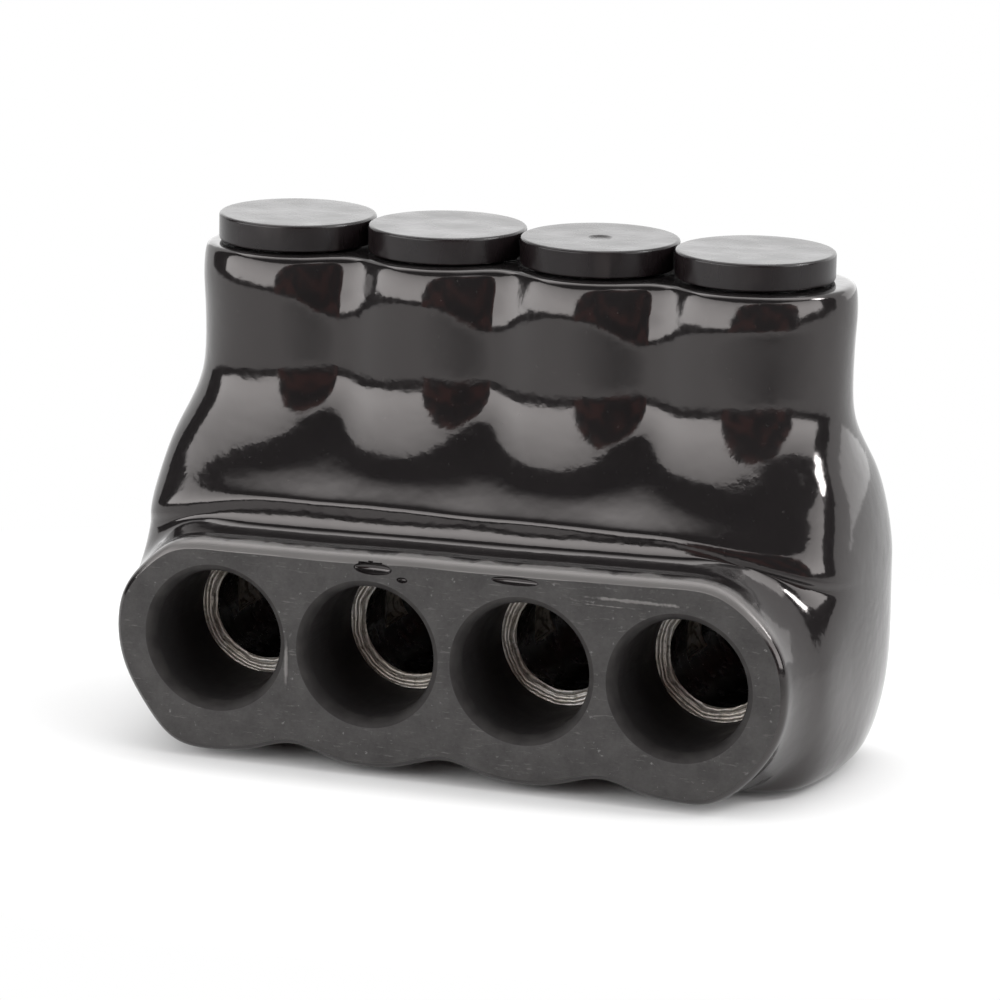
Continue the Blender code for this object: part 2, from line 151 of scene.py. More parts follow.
# Fineness
STATIONS_PER_PITCH = 4
STATION_COUNT = STATIONS_PER_PITCH * (PORT_COUNT - 1) + 1
STATIONS = [index * PITCH / STATIONS_PER_PITCH - ROW_HALF for index in range(STATION_COUNT)]
END_STEPS = 6
RING_COUNT = 2 * (STATION_COUNT + END_STEPS - 1)
LOBE_POWER = 2.3
DROOP_START = 0.75
JACKET_SMOOTHING = 3
COLLAR_ROWS = 3
COLLAR_END_COLUMNS = 2
BASE_RING_COUNT = 2
BORE_STEPS = 96
MOUTH_STEPS = 8
SCREW_STEPS = 64
THREAD_STEPS = 48
SMOOTH_DEGREES = 35
FACE_TOLERANCE = 0.00002

# The photograph's view, as seen from the middle of the port row
VIEW_AZIMUTH = 19.55
VIEW_ELEVATION = 13.33
VIEW_ROLL = math.radians(1.0)
VIEW_DISTANCE = 0.78524
VIEW_RIGHT = -0.00237
VIEW_UP = 0.01594
SENSOR_WIDTH = 36.0
LENS = 200.1
LAMP_AIM = Vector((0.0, 0.0, 0.03))

Section = collections.namedtuple("Section", "height left right front back valley power droop")


def start_piece():
    """Leaves object mode with nothing selected, ready for a new primitive."""
    if bpy.context.mode != "OBJECT":
        bpy.ops.object.mode_set(mode="OBJECT")
    bpy.ops.object.select_all(action="DESELECT")


def make_active(piece):
    start_piece()
    piece.select_set(True)
    bpy.context.view_layer.objects.active = piece


def name_piece(name):
    piece = bpy.context.active_object
    piece.name = name
    piece.data.name = name
    return piece


def apply_place(piece):
    make_active(piece)
    bpy.ops.object.transform_apply(location=True, rotation=True, scale=True)


def apply_modifiers(piece):
    make_active(piece)
    for modifier in list(piece.modifiers):
        bpy.ops.object.modifier_apply(modifier=modifier.name)


def face_outwards(piece):
    make_active(piece)
    bpy.ops.object.mode_set(mode="EDIT")
    bpy.ops.mesh.select_all(action="SELECT")
    bpy.ops.mesh.normals_make_consistent(inside=False)
    bpy.ops.object.mode_set(mode="OBJECT")


def turned(name, profile, steps=BORE_STEPS):
    """A solid of revolution about Z, drawn out ring by ring through pairs of radius and height."""
    start_piece()
    radius, height = profile[0]
    bpy.ops.mesh.primitive_circle_add(
        vertices=steps, radius=radius, fill_type="NGON", location=(0.0, 0.0, height)
    )
    piece = name_piece(name)
    apply_place(piece)
    bpy.ops.object.mode_set(mode="EDIT")
    bpy.ops.mesh.select_all(action="SELECT")
    for next_radius, next_height in profile[1:]:
        rise = (0.0, 0.0, next_height - height)
        bpy.ops.mesh.extrude_region_move(TRANSFORM_OT_translate={"value": rise, "orient_type": "GLOBAL"})
        share = next_radius / radius
        bpy.ops.transform.resize(value=(share, share, 1.0), center_override=(0.0, 0.0, next_height))
        radius, height = next_radius, next_height
    face_outwards(piece)
    return piece


def cut_away(piece, cutter):
    """Takes the cutter's space out of the piece, and the cutter out of the scene."""
    modifier = piece.modifiers.new("cut", "BOOLEAN")
    modifier.operation = "DIFFERENCE"
    modifier.solver = "EXACT"
    modifier.object = cutter
    apply_modifiers(piece)
    bpy.data.objects.remove(cutter, do_unlink=True)


def cut_box(piece, low, high):
    start_piece()
    middle = (Vector(low) + Vector(high)) / 2
    bpy.ops.mesh.primitive_cube_add(size=1.0, location=middle)
    cutter = name_piece("cutter")
    cutter.scale = Vector(high) - Vector(low)
    apply_place(cutter)
    cut_away(piece, cutter)


def turned_cutter(profile, place, along_port=False):
    cutter = turned("cutter", profile)
    if along_port:
        cutter.rotation_euler = (math.pi / 2, 0.0, 0.0)
    cutter.location = place
    apply_place(cutter)
    return cutter


def cut_all(piece, cutters):
    """Cuts with cutters that stay clear of each other, in one go."""
    make_active(cutters[0])
    for cutter in cutters[1:]:
        cutter.select_set(True)
    bpy.ops.object.join()
    cut_away(piece, cutters[0])


def select_faces(piece, wanted):
    """Edit mode, with only the faces selected that the rule wants by their middle and normal."""
    make_active(piece)
    bpy.ops.object.mode_set(mode="EDIT")
    bpy.ops.mesh.select_mode(type="FACE")
    bpy.ops.mesh.select_all(action="DESELECT")
    mesh_data = bmesh.from_edit_mesh(piece.data)
    for face in mesh_data.faces:
        face.select_set(wanted(face.calc_center_median(), face.normal))
    bmesh.update_edit_mesh(piece.data)


def assign_faces(piece, material, wanted):
    """Gives the faces that the rule wants a material of their own."""
    piece.data.materials.append(material)
    select_faces(piece, wanted)
    piece.active_material_index = len(piece.data.materials) - 1
    bpy.ops.object.material_slot_assign()
    bpy.ops.mesh.select_all(action="DESELECT")
    bpy.ops.object.mode_set(mode="OBJECT")


def smooth(piece):
    make_active(piece)
    bpy.ops.object.shade_smooth_by_angle(angle=math.radians(SMOOTH_DEGREES))
    weighted = piece.modifiers.new("flat faces stay flat", "WEIGHTED_NORMAL")
    weighted.keep_sharp = True
    apply_modifiers(piece)


# Materials

def new_material(name):
    material = bpy.data.materials.new(name)
    material.use_nodes = True
    return material, material.node_tree, material.node_tree.nodes["Principled BSDF"]


def object_places(tree, stretch=(1.0, 1.0, 1.0)):
    """Object coordinates in metres, stretched for marks that run one way."""
    places = tree.nodes.new("ShaderNodeTexCoord")
    mapping = tree.nodes.new("ShaderNodeMapping")
    mapping.inputs["Scale"].default_value = stretch
    tree.links.new(places.outputs["Object"], mapping.inputs["Vector"])
    return mapping.outputs["Vector"]


def noise(tree, places, scale, detail=4.0, roughness=0.5):
    texture = tree.nodes.new("ShaderNodeTexNoise")
    texture.inputs["Scale"].default_value = scale
    texture.inputs["Detail"].default_value = detail
    texture.inputs["Roughness"].default_value = roughness
    tree.links.new(places, texture.inputs["Vector"])
    return texture.outputs["Fac"]


def spread(tree, value, low, high, to_low=0.0, to_high=1.0):
    """Maps low..high of a value to to_low..to_high, and holds it there outside."""
    ranged = tree.nodes.new("ShaderNodeMapRange")
    ranged.inputs["From Min"].default_value = low
    ranged.inputs["From Max"].default_value = high
    ranged.inputs["To Min"].default_value = to_low
    ranged.inputs["To Max"].default_value = to_high
    tree.links.new(value, ranged.inputs["Value"])
    return ranged.outputs["Result"]


def mixed_colour(tree, share, first, second):
    """A colour between two, each given as numbers or as another node's output."""
    mix = tree.nodes.new("ShaderNodeMix")
    mix.data_type = "RGBA"
    tree.links.new(share, mix.inputs["Factor"])
    for socket, colour in ((mix.inputs["A"], first), (mix.inputs["B"], second)):
        if isinstance(colour, tuple):
            socket.default_value = (*colour, 1.0)
        else:
            tree.links.new(colour, socket)
    return mix.outputs["Result"]


def arithmetic(tree, operation, first, second=0.0):
    maths = tree.nodes.new("ShaderNodeMath")
    maths.operation = operation
    for socket, value in zip(maths.inputs, (first, second)):
        if isinstance(value, (int, float)):
            socket.default_value = value
        else:
            tree.links.new(value, socket)
    return maths.outputs["Value"]


def bump(tree, height, distance, below=None):
    bumps = tree.nodes.new("ShaderNodeBump")
    bumps.inputs["Distance"].default_value = distance
    bumps.inputs["Strength"].default_value = 1.0
    tree.links.new(height, bumps.inputs["Height"])
    if below is not None:
        tree.links.new(below, bumps.inputs["Normal"])
    return bumps.outputs["Normal"]


def near_place(tree, place, reach, stretch=(1.0, 1.0, 1.0), wobble=0.0):
    """1 at a place on the piece, falling to 0 at the reach, with a wandering border."""
    texture = tree.nodes.new("ShaderNodeTexCoord")
    offset = tree.nodes.new("ShaderNodeVectorMath")
    offset.operation = "SUBTRACT"
    offset.inputs[1].default_value = place
    tree.links.new(texture.outputs["Object"], offset.inputs[0])
    squeeze = tree.nodes.new("ShaderNodeVectorMath")
    squeeze.operation = "MULTIPLY"
    squeeze.inputs[1].default_value = stretch
    tree.links.new(offset.outputs["Vector"], squeeze.inputs[0])
    length = tree.nodes.new("ShaderNodeVectorMath")
    length.operation = "LENGTH"
    tree.links.new(squeeze.outputs["Vector"], length.inputs[0])
    distance = length.outputs["Value"]
    if wobble:
        wander = noise(tree, texture.outputs["Object"], 900.0)
        distance = arithmetic(tree, "ADD", distance, spread(tree, wander, 0.3, 0.7, -wobble, wobble))
    return spread(tree, distance, reach, 0.0)


def glossy_jacket_material(name, lip_highlight_painted):
    """Dip-moulded soft vinyl: deep black, glossy, with a faint orange-peel grain and fine dust."""
    material, tree, shader = new_material(name)
    places = object_places(tree)
    peel = noise(tree, places, 1100.0, 2.0)
    swell = noise(tree, places, 160.0, 2.0)
    dust = spread(tree, noise(tree, places, 2600.0, 1.0), 0.74, 0.80)
    colour = mixed_colour(tree, swell, (0.0095, 0.0085, 0.0088), (0.0135, 0.0120, 0.0122))
    colour = mixed_colour(tree, dust, colour, (0.035, 0.033, 0.032))
    gloss = spread(tree, peel, 0.3, 0.7, 0.07, 0.13)
    # A painted highlight: the lit lip next to the knife cut is painted as a pale, rougher wavy band.
    if lip_highlight_painted:
        mask = painted_lip_highlight(tree, places)
        colour = mixed_colour(tree, mask, colour, (0.100, 0.096, 0.094))
        gloss = arithmetic(tree, "ADD", gloss, arithmetic(tree, "MULTIPLY", mask, 0.22))
    tree.links.new(colour, shader.inputs["Base Color"])
    tree.links.new(gloss, shader.inputs["Roughness"])
    shader.inputs["IOR"].default_value = 1.60
    # Painted light: the warm tint of the reflections stands for warm light round the room, not for a colour
    # of the vinyl.
    shader.inputs["Specular Tint"].default_value = (1.0, 0.94, 0.925, 1.0)
    normal = bump(tree, swell, 0.00012)
    tree.links.new(bump(tree, peel, 0.000012, normal), shader.inputs["Normal"])
    return material


def painted_lip_highlight(tree, places):
    """1 on the collar's upper edge next to the knife cut, where a pale wavy band is painted as the highlight
    of the lit lip.
    """
    parts = tree.nodes.new("ShaderNodeSeparateXYZ")
    tree.links.new(places, parts.inputs["Vector"])
    wander = noise(tree, object_places(tree, (1.0, 0.2, 0.2)), 190.0, 3.0)
    wave = spread(tree, wander, 0.3, 0.7, -0.0008, 0.0009)
    back = arithmetic(tree, "ADD", parts.outputs["Y"], wave)
    near_cut = spread(tree, back, 0.0024 - COLLAR_REACH, 0.0015 - COLLAR_REACH)
    upper = spread(tree, parts.outputs["Z"], PORT_AXIS_HEIGHT + 0.0070, PORT_AXIS_HEIGHT + 0.0100)
    return arithmetic(tree, "MULTIPLY", near_cut, upper)


def on_cut(x, height):
    """A place on the knife-cut end, by its height over the axis of the ports."""
    return Vector((x, -COLLAR_REACH, PORT_AXIS_HEIGHT + height))


def cut_face_material():
    """The knife-cut end of the collar: dull dark grey with scratches, specks, pits and a tear."""
    material, tree, shader = new_material("knife-cut vinyl")
    places = object_places(tree)
    mottle = noise(tree, places, 260.0, 5.0, 0.6)
    grain = noise(tree, places, 2400.0, 3.0, 0.7)
    drag = noise(tree, object_places(tree, (1.0, 1.0, 7.0)), 420.0, 4.0, 0.65)
    pale = spread(tree, noise(tree, places, 1300.0, 5.0, 0.6), 0.655, 0.72)
    scratch = spread(tree, drag, 0.61, 0.70)
    tear = near_place(tree, on_cut(0.0272, 0.0114), 0.0068, (0.7, 1.0, 19.0), 0.0022)
    second_tear = near_place(tree, on_cut(0.0236, 0.0104), 0.0044, (0.6, 1.0, 26.0), 0.0020)
    flash = near_place(tree, on_cut(-0.0231, -0.0027), 0.0042, (10.0, 1.0, 1.0), 0.0006)
    lines = arithmetic(tree, "MAXIMUM", arithmetic(tree, "MULTIPLY", second_tear, 0.6), flash)
    tear = arithmetic(tree, "MAXIMUM", tear, lines)
    cloud = spread(tree, mottle, 0.35, 0.65)
    colour = mixed_colour(tree, cloud, (0.020, 0.018, 0.0175), (0.035, 0.0325, 0.0315))
    colour = mixed_colour(tree, scratch, colour, (0.068, 0.064, 0.062))
    colour = mixed_colour(tree, pale, colour, (0.115, 0.112, 0.110))
    colour = mixed_colour(tree, spread(tree, tear, 0.2, 0.6), colour, (0.135, 0.128, 0.124))
    tree.links.new(colour, shader.inputs["Base Color"])
    tree.links.new(spread(tree, grain, 0.3, 0.7, 0.50, 0.72), shader.inputs["Roughness"])
    normal = bump(tree, mottle, 0.00012)
    normal = bump(tree, drag, 0.00005, normal)
    normal = bump(tree, grain, 0.00002, normal)
    tree.links.new(bump(tree, tear, 0.0002, normal), shader.inputs["Normal"])
    return material


def bore_material():
    """Vinyl moulded against a smooth mandrel: satin black with faint lengthwise draw marks."""
    material, tree, shader = new_material("mandrel-moulded vinyl")
    places = object_places(tree)
    mottle = noise(tree, places, 300.0, 4.0)
    draw = noise(tree, object_places(tree, (6.0, 0.6, 6.0)), 260.0, 3.0)
    colour = mixed_colour(tree, mottle, (0.020, 0.018, 0.0185), (0.030, 0.028, 0.0285))
    tree.links.new(colour, shader.inputs["Base Color"])
    shader.inputs["IOR"].default_value = 1.20
    tree.links.new(spread(tree, mottle, 0.3, 0.7, 0.42, 0.60), shader.inputs["Roughness"])
    tree.links.new(bump(tree, draw, 0.00005), shader.inputs["Normal"])
    return material


def mouth_material():
    """The rounded entry of a port, scuffed to a soft dark grey by the cables that went in."""
    material, tree, shader = new_material("scuffed port mouth")
    scuff = noise(tree, object_places(tree), 420.0, 4.0)
    colour = mixed_colour(tree, spread(tree, scuff, 0.35, 0.65), (0.021, 0.019, 0.019), (0.033, 0.031, 0.030))
    tree.links.new(colour, shader.inputs["Base Color"])
    shader.inputs["IOR"].default_value = 1.25
    tree.links.new(spread(tree, scuff, 0.3, 0.7, 0.60, 0.75), shader.inputs["Roughness"])
    tree.links.new(bump(tree, scuff, 0.00003), shader.inputs["Normal"])
    return material


def rubber_material(name, reflection):
    """Matte black rubber of the plugs, with a patchy bloom and moulding streaks."""
    material, tree, shader = new_material(name)
    places = object_places(tree)
    bloom = noise(tree, places, 110.0, 4.0, 0.5)
    streak = noise(tree, object_places(tree, (1.0, 1.7, 0.4)), 150.0, 3.0, 0.5)
    grain = noise(tree, places, 3000.0, 2.0)
    cloud = spread(tree, bloom, 0.35, 0.65)
    colour = mixed_colour(tree, cloud, (0.006, 0.004, 0.0045), (0.011, 0.008, 0.0085))
    colour = mixed_colour(tree, spread(tree, streak, 0.58, 0.72), colour, (0.020, 0.016, 0.016))
    tree.links.new(colour, shader.inputs["Base Color"])
    shader.inputs["IOR"].default_value = reflection
    tree.links.new(spread(tree, streak, 0.3, 0.7, 0.23, 0.31), shader.inputs["Roughness"])
    normal = bump(tree, bloom, 0.00012)
    tree.links.new(bump(tree, grain, 0.000012, normal), shader.inputs["Normal"])
    return material


def ring_marks(tree):
    """Fine rings round the nearest wire bore, as turning and facing tools leave them."""
    texture = tree.nodes.new("ShaderNodeTexCoord")
    parts = tree.nodes.new("ShaderNodeSeparateXYZ")
    tree.links.new(texture.outputs["Object"], parts.inputs["Vector"])
    along = arithmetic(tree, "ADD", parts.outputs["X"], ROW_HALF + PITCH / 2)
    across = arithmetic(tree, "SUBTRACT", arithmetic(tree, "MODULO", along, PITCH), PITCH / 2)
    up = arithmetic(tree, "SUBTRACT", parts.outputs["Z"], PORT_AXIS_HEIGHT)
    squares = [arithmetic(tree, "MULTIPLY", value, value) for value in (across, up)]
    radius = arithmetic(tree, "SQRT", arithmetic(tree, "ADD", *squares))
    wander = spread(tree, noise(tree, texture.outputs["Object"], 260.0), 0.2, 0.8, -0.00034, 0.00034)
    wavy_radius = arithmetic(tree, "ADD", radius, wander)
    return arithmetic(tree, "SINE", arithmetic(tree, "MULTIPLY", wavy_radius, 2 * math.pi / RING_SPACING))


def dark_bore_material():
    """The oiled inside of the wire bores, half glossy with drill marks, its metal painted dark as painted
    shade inside the bores.
    """
    material, tree, shader = new_material("oiled bore with painted shade")
    places = object_places(tree)
    mask = noise(tree, places, 420.0, 4.0, 0.6)
    drill = noise(tree, object_places(tree, (0.3, 6.0, 0.3)), 700.0, 2.0)
    # Painted shade: the bore metal is much darker than the block's face.
    colour = mixed_colour(tree, spread(tree, mask, 0.35, 0.65), (0.16, 0.17, 0.17), (0.30, 0.30, 0.29))
    tree.links.new(colour, shader.inputs["Base Color"])
    shader.inputs["Metallic"].default_value = 1.0
    tree.links.new(spread(tree, mask, 0.3, 0.7, 0.10, 0.34), shader.inputs["Roughness"])
    tree.links.new(bump(tree, drill, 0.00003, bump(tree, mask, 0.00025)), shader.inputs["Normal"])
    return material


def block_material():
    """Tin-plated aluminium, machined: turning marks round the bores and a straw tint in places."""
    material, tree, shader = new_material("tinned aluminium")
    places = object_places(tree)
    tint = noise(tree, places, 240.0, 3.0)
    brushed = noise(tree, object_places(tree, (1.0, 1.0, 9.0)), 500.0, 4.0, 0.7)
    stain = noise(tree, places, 900.0, 4.0, 0.7)
    colour = mixed_colour(tree, spread(tree, tint, 0.35, 0.65), (0.74, 0.68, 0.60), (0.86, 0.83, 0.79))
    colour = mixed_colour(tree, spread(tree, stain, 0.52, 0.70), colour, (0.26, 0.24, 0.19))
    shader.inputs["Metallic"].default_value = 0.55
    tree.links.new(spread(tree, brushed, 0.3, 0.7, 0.36, 0.58), shader.inputs["Roughness"])
    rings = ring_marks(tree)
    colour = mixed_colour(tree, spread(tree, rings, 0.3, 1.0), colour, (0.36, 0.31, 0.26))
    tree.links.new(colour, shader.inputs["Base Color"])
    normal = bump(tree, brushed, 0.00003)
    normal = bump(tree, rings, 0.00004, normal)
    tree.links.new(bump(tree, stain, 0.00002, normal), shader.inputs["Normal"])
    return material


def screw_material():
    """Plated screw metal with a slight cloud and handling marks."""
    material, tree, shader = new_material("plated screw metal")
    places = object_places(tree)
    cloud = noise(tree, places, 420.0, 4.0, 0.6)
    marks = noise(tree, object_places(tree, (1.0, 4.0, 1.0)), 900.0, 3.0)
    colour = mixed_colour(tree, spread(tree, cloud, 0.35, 0.65), (0.42, 0.41, 0.38), (0.60, 0.60, 0.58))
    tree.links.new(colour, shader.inputs["Base Color"])
    shader.inputs["Metallic"].default_value = 1.0
    tree.links.new(spread(tree, cloud, 0.3, 0.7, 0.22, 0.38), shader.inputs["Roughness"])
    tree.links.new(bump(tree, marks, 0.00002), shader.inputs["Normal"])
    return material


# Jacket

def port_offset(point):
    """How far a point is from the axis of the nearest port."""
    return min(math.hypot(point.x - x, point.z - PORT_AXIS_HEIGHT) for x in AXES)


def valley_share(x):
    """0 on a port's axis, 1 midway between two ports, with the round flank of a lobe between."""
    offset = min(abs(x - axis) for axis in AXES)
    return (2 * offset / PITCH) ** LOBE_POWER


def body_section(height, inset=0.0, rounding=0.0):
    return Section(
        height=height,
        left=BODY_LEFT_OVERHANG - rounding,
        right=BODY_RIGHT_OVERHANG - rounding,
        front=BODY_FRONT - inset,
        back=BODY_BACK - rounding,
        valley=0.0,
        power=BODY_CORNER_POWER,
        droop=0.0,
    )


def tower_section(height, radius):
    return Section(
        height=height,
        left=radius - TOWER_LEAN,
        right=radius + TOWER_LEAN,
        front=radius,
        back=radius,
        valley=NECK_VALLEY,
        power=2.0,
        droop=0.0,
    )


def rim_section(height, inset, crown):
    """An outline near the rim, where the front and back lean in more than the ends."""
    section = tower_section(height, TOWER_RIM_RADIUS - inset)
    return section._replace(
        front=section.front - crown, back=section.back - crown, valley=RIM_VALLEY
    )


def blended_section(height, front_share, share, droop=0.0):
    """An outline part of the way from the body's to the towers', where the front slopes back first."""
    low = body_section(height)
    high = tower_section(height, TOWER_NECK_RADIUS)
    blend = Section(*(a + (b - a) * share for a, b in zip(low, high)))
    front = low.front + (high.front - low.front) * front_share
    return blend._replace(front=front, droop=droop)


def jacket_sections():
    rise = NECK_HEIGHT - SHOULDER_HEIGHT
    rim = TOWER_RIM_RADIUS
    return [
        body_section(0.0, 3 * BASE_EDGE, 1.4 * BASE_ROUNDING),
        body_section(0.0, BASE_EDGE, 0.8 * BASE_ROUNDING),
        body_section(0.7 * BASE_EDGE, 0.1 * BASE_EDGE, 0.3 * BASE_ROUNDING),
        body_section(PORT_AXIS_HEIGHT - COLLAR_ROW_HALF),
        body_section(PORT_AXIS_HEIGHT + COLLAR_ROW_HALF),
        blended_section(SHOULDER_HEIGHT - SHOULDER_CREASE, 0.0, 0.01, SHOULDER_DROOP),
        blended_section(SHOULDER_HEIGHT, 0.0, 0.02, SHOULDER_DROOP),
        blended_section(SHOULDER_HEIGHT + 0.04 * rise, 0.03, 0.06, 0.7 * SHOULDER_DROOP),
        blended_section(SHOULDER_HEIGHT + 0.18 * rise, 0.35, 0.19, 0.3 * SHOULDER_DROOP),
        blended_section(SHOULDER_HEIGHT + 0.34 * rise, 0.58, 0.38),
        blended_section(SHOULDER_HEIGHT + 0.54 * rise, 0.76, 0.67),
        blended_section(SHOULDER_HEIGHT + 0.76 * rise, 0.91, 0.93),
        blended_section(NECK_HEIGHT, 1.0, 1.0),
        tower_section((NECK_HEIGHT + RIM_HEIGHT) / 2, (TOWER_NECK_RADIUS + rim) / 2),
        rim_section(RIM_HEIGHT - RIM_CROWN_HEIGHT, 0.0, 0.0),
        rim_section(RIM_HEIGHT - RIM_EDGE, 0.1 * RIM_EDGE, 0.8 * RIM_CROWN),
        rim_section(RIM_HEIGHT - 0.2 * RIM_EDGE, 0.4 * RIM_EDGE, RIM_CROWN),
        rim_section(RIM_HEIGHT, RIM_EDGE, RIM_CROWN),
        rim_section(RIM_HEIGHT, 2.2 * RIM_EDGE, RIM_CROWN),
    ]


def ring_point(section, index):
    """A point of a jacket outline: front row, right end, back row, left end."""
    if index < STATION_COUNT:
        x = STATIONS[index]
        return (x, valley_share(x) * section.valley - section.front, drooped_height(section, x))
    index -= STATION_COUNT
    if index < END_STEPS - 1:
        return end_point(section, 1, index + 1)
    index -= END_STEPS - 1
    if index < STATION_COUNT:
        x = STATIONS[STATION_COUNT - 1 - index]
        return (x, section.back - valley_share(x) * section.valley, drooped_height(section, x))
    return end_point(section, -1, END_STEPS - 1 - (index - STATION_COUNT))


def drooped_height(section, x):
    """The outline's height at a place along the row: level in the middle, lower towards its ends."""
    level_half = DROOP_START * ROW_HALF
    reach = ROW_HALF + section.left - level_half
    return section.height - section.droop * min(max(abs(x) - level_half, 0.0) / reach, 1.0) ** 2


def end_point(section, side, step):
    angle = math.pi * step / END_STEPS
    along = math.sin(angle) ** (2 / section.power)
    across = math.copysign(abs(math.cos(angle)) ** (2 / section.power), math.cos(angle))
    depth = section.front if across > 0 else section.back
    reach = section.left if side < 0 else section.right
    x = side * (ROW_HALF + reach * along)
    return (x, -depth * across, drooped_height(section, x))


def collar_point(column, row, inset, reach):
    """A point of the collar's grid: columns run along the row of ports, rows from bottom to top."""
    along = min(max(column, 0), STATION_COUNT - 1)
    x = STATIONS[along]
    roof = COLLAR_LEFT_ROOF + (COLLAR_RIGHT_ROOF - COLLAR_LEFT_ROOF) * along / (STATION_COUNT - 1)
    bottom = PORT_AXIS_HEIGHT - COLLAR_DROP + max(inset, 0.0) + COLLAR_VALLEY * valley_share(x)
    top = PORT_AXIS_HEIGHT + PORT_MOUTH_RADIUS + roof - inset
    fillet = max(-inset, 0.0) if reach < COLLAR_FILLET_END else 0.0
    spread_out = COLLAR_LEFT_SPREAD if column < 0 else COLLAR_RIGHT_SPREAD
    radius = COLLAR_END_RADIUS - max(inset, 0.0) + fillet * spread_out
    setback = COLLAR_END_SETBACK * fillet / COLLAR_FILLET
    if column == along:
        return (x, -reach, bottom + (top - bottom) * row / COLLAR_ROWS)
    side = -1 if column < 0 else 1
    if column in (-1, STATION_COUNT):
        corner = COLLAR_LEFT_CORNER if side < 0 else COLLAR_RIGHT_CORNER
        height = bottom + (top - bottom) * row / COLLAR_ROWS
        return (side * (ROW_HALF + radius * corner), 0.4 * setback - reach, height)
    across, up = (COLLAR_LEFT_END if side < 0 else COLLAR_RIGHT_END)[row]
    return (side * (ROW_HALF + radius * across), setback - reach, PORT_AXIS_HEIGHT + radius * up)


def selected_points(mesh_data):
    return [vert for vert in mesh_data.verts if vert.select]


def ring_layers(mesh_data):
    """The layers that hold each point's place round its ring, and its ring's number."""
    return mesh_data.verts.layers.int["around"], mesh_data.verts.layers.int["level"]


def draw_up_rings(jacket):
    """Draws the base outline up through the sections, ring by ring."""
    mesh_data = bmesh.from_edit_mesh(jacket.data)
    mesh_data.verts.layers.int.new("around")
    mesh_data.verts.layers.int.new("level")
    around, levels = ring_layers(mesh_data)
    for index, vert in enumerate(mesh_data.verts):
        vert[around] = index
    for level, section in enumerate(jacket_sections()):
        if level:
            bpy.ops.mesh.extrude_region_move()
        mesh_data = bmesh.from_edit_mesh(jacket.data)
        around, levels = ring_layers(mesh_data)
        for vert in selected_points(mesh_data):
            vert.co = ring_point(section, vert[around])
            vert[levels] = level
        bmesh.update_edit_mesh(jacket.data)


def split_end(jacket, level):
    """Splits the flat face that closes an end into strips from front to back."""
    back_end = 2 * STATION_COUNT + END_STEPS - 2
    bpy.ops.mesh.select_mode(type="VERT")
    for index in range(STATION_COUNT):
        bpy.ops.mesh.select_all(action="DESELECT")
        mesh_data = bmesh.from_edit_mesh(jacket.data)
        around, levels = ring_layers(mesh_data)
        for vert in mesh_data.verts:
            vert.select_set(vert[levels] == level and vert[around] in (index, back_end - index))
        bmesh.update_edit_mesh(jacket.data)
        bpy.ops.mesh.vert_connect()


def draw_out_collar(jacket):
    """Draws the front patch of the body out to the collar, past the knife cut."""
    mesh_data = bmesh.from_edit_mesh(jacket.data)
    around, levels = ring_layers(mesh_data)
    rows = range(BASE_RING_COUNT, BASE_RING_COUNT + COLLAR_ROWS + 1)
    left_end = RING_COUNT - COLLAR_END_COLUMNS
    columns = [*range(left_end, RING_COUNT), *range(STATION_COUNT + COLLAR_END_COLUMNS)]
    bpy.ops.mesh.select_all(action="DESELECT")
    for face in mesh_data.faces:
        face.select_set(all(v[levels] in rows and v[around] in columns for v in face.verts))
    bmesh.update_edit_mesh(jacket.data)
    for reach, inset in (
        (BODY_FRONT + 0.04 * COLLAR_LENGTH, -1.2 * COLLAR_FILLET),
        (BODY_FRONT + 0.18 * COLLAR_LENGTH, -0.7 * COLLAR_FILLET),
        (BODY_FRONT + 0.42 * COLLAR_LENGTH, -0.25 * COLLAR_FILLET),
        (BODY_FRONT + 0.70 * COLLAR_LENGTH, -0.28 * COLLAR_LIP),
        (BODY_FRONT + 0.90 * COLLAR_LENGTH, -0.10 * COLLAR_LIP),
        (BODY_FRONT + 1.00 * COLLAR_LENGTH, 0.36 * COLLAR_LIP),
        (BODY_FRONT + 1.12 * COLLAR_LENGTH, 1.15 * COLLAR_LIP),
    ):
        bpy.ops.mesh.extrude_region_move()
        mesh_data = bmesh.from_edit_mesh(jacket.data)
        around, levels = ring_layers(mesh_data)
        for vert in selected_points(mesh_data):
            column = vert[around] - RING_COUNT if vert[around] >= left_end else vert[around]
            vert.co = collar_point(column, vert[levels] - BASE_RING_COUNT, inset, reach)
        bmesh.update_edit_mesh(jacket.data)


def port_profile():
    inner = BLOCK_LOW.y + SEAT_GAP
    length = COLLAR_REACH + inner
    profile = [(PORT_BORE_RADIUS, 0.0)]
    for step in range(MOUTH_STEPS + 1):
        angle = math.pi / 2 * (1 - step / MOUTH_STEPS)
        radius = PORT_MOUTH_RADIUS - (PORT_MOUTH_RADIUS - PORT_BORE_RADIUS) * math.sin(angle)
        profile.append((radius, length - PORT_MOUTH_DEPTH * (1 - math.cos(angle))))
    profile.append((PORT_MOUTH_RADIUS, length + CUT_OVERRUN))
    return profile


def bubble_distance(point, x, height, half_sizes):
    """1 on a bubble's wall, less inside it."""
    offset = point - on_cut(x, height)
    return math.hypot(*(away / half for away, half in zip(offset, half_sizes)))


def bubble_cutter(x, height, half_sizes):
    """A cutter for a small hollow in the knife-cut end, where a bubble lay in the skin."""
    start_piece()
    bpy.ops.mesh.primitive_uv_sphere_add(
        segments=32, ring_count=16, radius=1.0, location=on_cut(x, height)
    )
    cutter = name_piece("cutter")
    cutter.scale = half_sizes
    apply_place(cutter)
    return cutter


